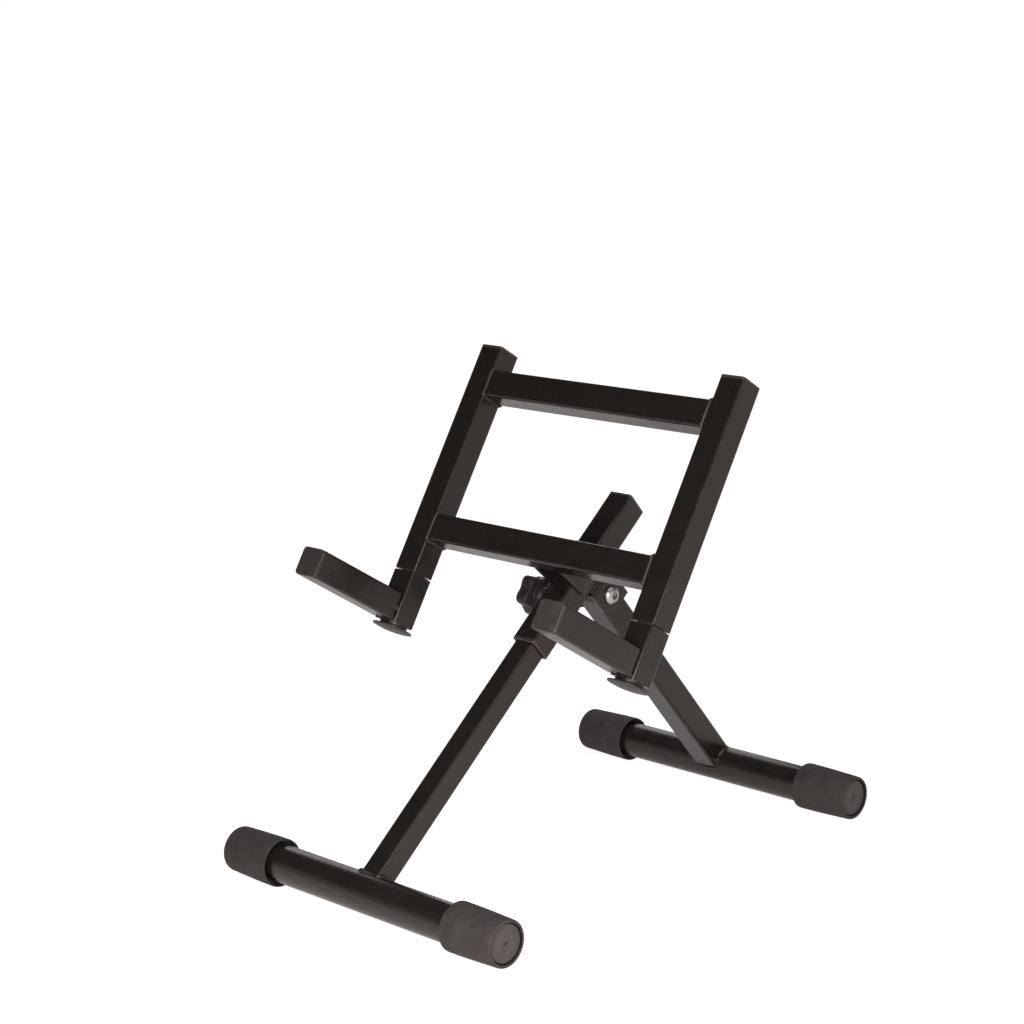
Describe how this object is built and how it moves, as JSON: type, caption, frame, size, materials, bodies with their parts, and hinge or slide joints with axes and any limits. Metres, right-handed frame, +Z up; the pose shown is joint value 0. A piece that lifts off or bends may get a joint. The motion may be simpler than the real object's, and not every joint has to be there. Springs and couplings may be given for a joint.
{
  "type": "folding amp stand",
  "caption": "Folding tilt-back stand: T-shaped legs on rubber-capped round feet carry a leaning frame with swivelling support arms and a telescoping front leg.",
  "frame": {"origin": "on the floor, midway between the feet and midway across", "axes": "+X across to the right seen from the front, +Y from the front foot to the rear foot, +Z up"},
  "size_m": [0.314, 0.481, 0.4156],
  "materials": {
    "black_paint": "satin black powder coat",
    "foot_rubber": "matte, finely textured",
    "black_plastic": "matte moulded",
    "knob_plastic": "matte moulded",
    "white_nylon": "natural nylon",
    "zinc_steel": "zinc plated",
    "black_steel": "black oxide"
  },
  "bodies": {
    "frame": {"outer_leg_tube": "black_paint", "outer_leg_bush": "black_plastic", "outer_leg_plug": "black_plastic", "height_clamp_boss": "zinc_steel", "fold_bracket": "black_paint", "pivot_bolt": "zinc_steel", "lower_crossbar": "black_paint", "upper_crossbar": "black_paint", "gusset_left": "black_paint", "gusset_right": "black_paint", "upright_left": "black_paint", "upright_cap_left": "black_plastic", "upright_insert_left": "zinc_steel", "swivel_stud_left": "zinc_steel", "upright_right": "black_paint", "upright_cap_right": "black_plastic", "upright_insert_right": "zinc_steel", "swivel_stud_right": "zinc_steel"},
    "front_leg": {"inner_leg_tube": "black_paint", "inner_leg_glide": "white_nylon", "front_foot_tube": "black_paint", "front_foot_cap_left": "foot_rubber", "front_foot_cap_right": "foot_rubber"},
    "rear_leg": {"rear_leg_tube": "black_paint", "pivot_sleeve": "zinc_steel", "pivot_washer_left": "white_nylon", "pivot_washer_right": "white_nylon", "rear_foot_tube": "black_paint", "rear_foot_cap_left": "foot_rubber", "rear_foot_cap_right": "foot_rubber"},
    "arm_left": {"arm_tube_left": "black_paint", "arm_plug_left": "black_plastic", "arm_joint_plate_left": "black_paint", "swivel_post_left": "black_paint", "swivel_bush_low_left": "white_nylon", "swivel_bush_top_left": "white_nylon", "swivel_washer_left": "black_plastic", "clamp_washer_left": "black_steel"},
    "arm_right": {"arm_tube_right": "black_paint", "arm_plug_right": "black_plastic", "arm_joint_plate_right": "black_paint", "swivel_post_right": "black_paint", "swivel_bush_low_right": "white_nylon", "swivel_bush_top_right": "white_nylon", "swivel_washer_right": "black_plastic", "clamp_washer_right": "black_steel"},
    "arm_knob_left": {"clamp_knob_left": "knob_plastic"},
    "arm_knob_right": {"clamp_knob_right": "knob_plastic"},
    "pivot_knob": {"pivot_knob": "knob_plastic"},
    "height_knob": {"height_clamp_knob": "knob_plastic"}
  },
  "joints": [
    {"name": "front_leg_slide", "type": "slide", "parent": "frame", "child": "front_leg", "axis": [0, -0.766, -0.6428], "range_m": [-0.05, 0.025]},
    {"name": "rear_leg_fold", "type": "hinge", "parent": "frame", "child": "rear_leg", "pos_m": [0, 0.05684, 0.21494], "axis": [-1, 0, 0], "range_deg": [0, 90]},
    {"name": "arm_left_swing", "type": "hinge", "parent": "frame", "child": "arm_left", "pos_m": [-0.137, -0.04176, 0.20712], "axis": [0, 0.5299, 0.848], "range_deg": [0, 90]},
    {"name": "arm_right_swing", "type": "hinge", "parent": "frame", "child": "arm_right", "pos_m": [0.137, -0.04176, 0.20712], "axis": [0, -0.5299, -0.848], "range_deg": [0, 90]},
    {"name": "arm_knob_left_turn", "type": "hinge", "parent": "frame", "child": "arm_knob_left", "pos_m": [-0.137, -0.05765, 0.18168], "axis": [0, -0.5299, -0.848], "range_deg": [0, 360]},
    {"name": "arm_knob_right_turn", "type": "hinge", "parent": "frame", "child": "arm_knob_right", "pos_m": [0.137, -0.05765, 0.18168], "axis": [0, -0.5299, -0.848], "range_deg": [0, 360]},
    {"name": "pivot_knob_turn", "type": "hinge", "parent": "frame", "child": "pivot_knob", "pos_m": [-0.025, 0.05684, 0.21494], "axis": [-1, 0, 0], "range_deg": [0, 360]},
    {"name": "height_knob_turn", "type": "hinge", "parent": "frame", "child": "height_knob", "pos_m": [-0.03, 0.01323, 0.2162], "axis": [-1, 0, 0], "range_deg": [0, 360]}
  ]
}
